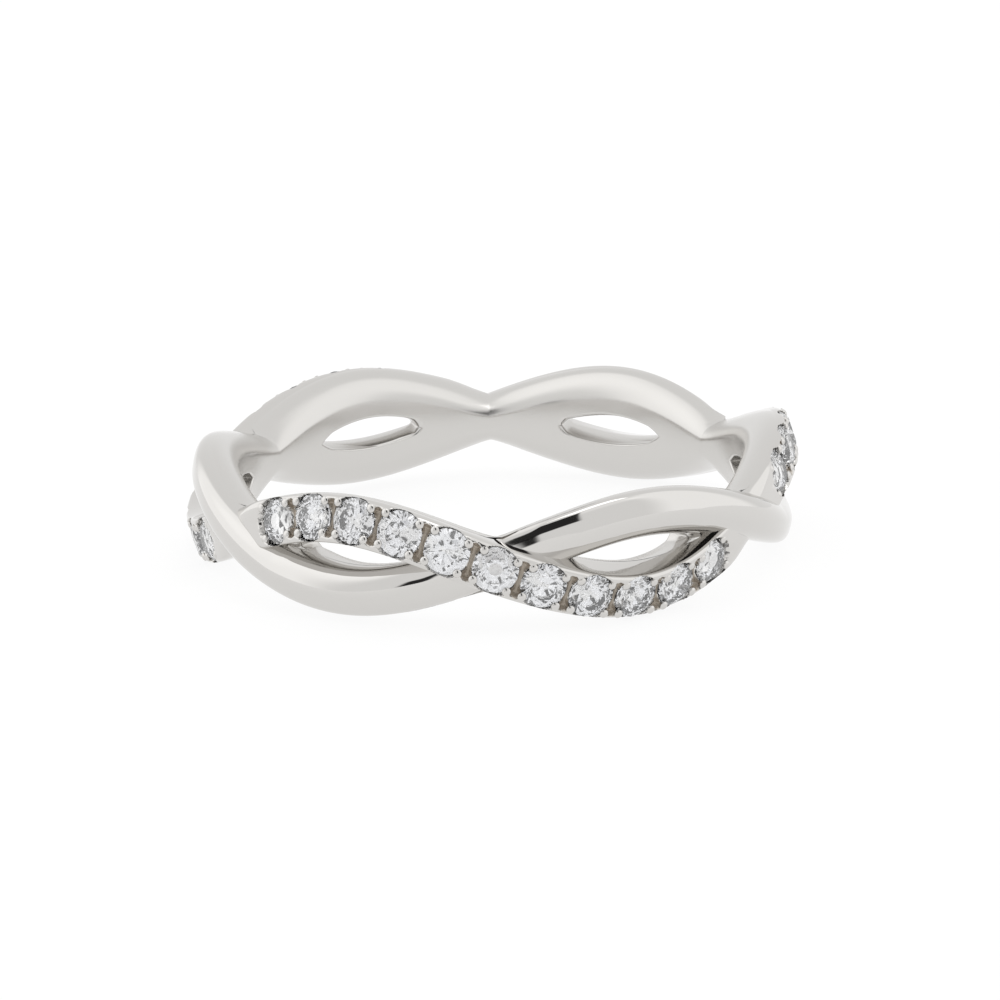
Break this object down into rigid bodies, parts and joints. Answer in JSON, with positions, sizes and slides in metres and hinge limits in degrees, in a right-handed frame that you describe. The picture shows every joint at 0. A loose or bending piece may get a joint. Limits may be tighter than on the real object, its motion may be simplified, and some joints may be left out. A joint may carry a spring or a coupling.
{
  "type": "twist ring",
  "caption": "Finger ring of two strands twisted round each other in a full circle, one plain and polished, one set with small round cut stones.",
  "frame": {"origin": "centre of the finger hole, in the ring's middle plane", "axes": "+Z along the finger hole's axis, -Y towards the front, where the stone strand crosses over; the ring lies on its side"},
  "size_m": [0.0214, 0.0214, 0.0044],
  "materials": {
    "white_gold": "mirror polish, rhodium plated white gold",
    "stone": "colourless round brilliant cut, polished facets"
  },
  "bodies": {
    "root": {"band": "white_gold", "stone_01": "stone", "stone_02": "stone", "stone_03": "stone", "stone_04": "stone", "stone_05": "stone", "stone_06": "stone", "stone_07": "stone", "stone_08": "stone", "stone_09": "stone", "stone_10": "stone", "stone_11": "stone", "stone_12": "stone", "stone_13": "stone", "stone_14": "stone", "stone_15": "stone", "stone_16": "stone", "stone_17": "stone", "stone_18": "stone", "stone_19": "stone", "stone_20": "stone", "stone_21": "stone", "stone_22": "stone", "stone_23": "stone", "stone_24": "stone", "stone_25": "stone", "stone_26": "stone", "stone_27": "stone", "stone_28": "stone", "stone_29": "stone", "stone_30": "stone", "stone_31": "stone", "stone_32": "stone", "stone_33": "stone"}
  },
  "joints": []
}
